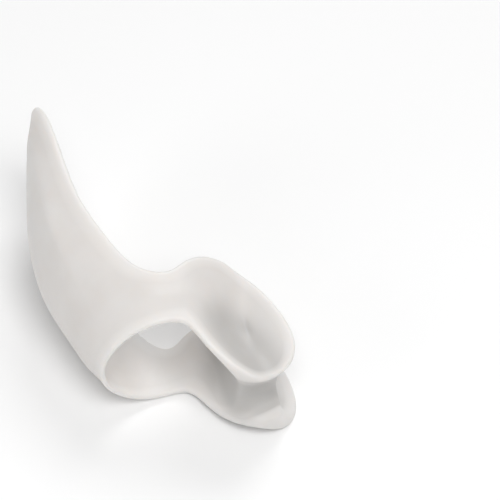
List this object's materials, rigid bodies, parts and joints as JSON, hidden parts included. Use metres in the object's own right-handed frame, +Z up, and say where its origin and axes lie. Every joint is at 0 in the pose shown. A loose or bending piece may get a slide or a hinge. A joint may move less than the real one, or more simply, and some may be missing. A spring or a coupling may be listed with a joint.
{
  "type": "bunion corrector",
  "caption": "Soft one-piece gel bunion corrector for the left foot: toe ring, long tapering shield over the big toe joint, and a dished spacer column between the first two toes.",
  "frame": {"origin": "on the floor under the toe ring, at the middle of the big toe's hollow, where the guard's flat sole rests", "axes": "+Y along the big toe towards the heel, +X across the foot from its inner side towards the second toe, +Z up"},
  "size_m": [0.048, 0.0905, 0.0354],
  "materials": {
    "gel": "satin milky white gel"
  },
  "bodies": {
    "root": {"gel_guard": "gel"}
  },
  "joints": []
}
